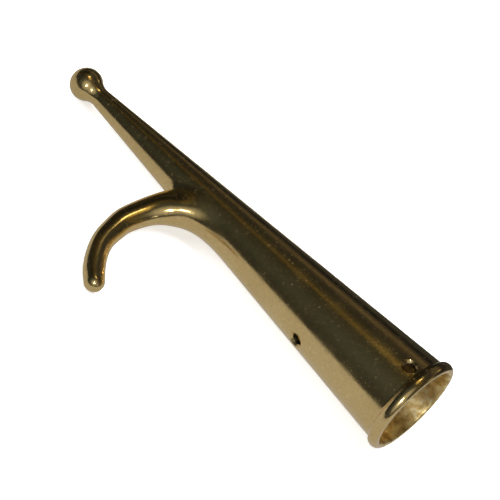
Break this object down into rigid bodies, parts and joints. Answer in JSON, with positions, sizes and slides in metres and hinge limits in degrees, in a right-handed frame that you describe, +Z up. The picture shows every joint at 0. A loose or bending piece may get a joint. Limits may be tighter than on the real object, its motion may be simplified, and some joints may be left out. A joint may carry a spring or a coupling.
{
  "type": "boat hook head",
  "caption": "Cast brass boat hook head with a ball point, a curved side hook and a tapered pole socket with a beaded rim and countersunk screw holes.",
  "frame": {"origin": "middle of the footprint, on the surface that the head lies on", "axes": "+Z up. The socket's mouth is towards +X and the ball towards -X, with the axis 4.5 degrees down towards the ball. The hook is on the -Y side. The head rests on its rim bead, its ball and the tip of its hook."},
  "size_m": [0.202, 0.0876, 0.0442],
  "materials": {
    "polished_brass": "polished outside, as cast inside the socket"
  },
  "bodies": {
    "root": {"hook_head_casting": "polished_brass"}
  },
  "joints": []
}
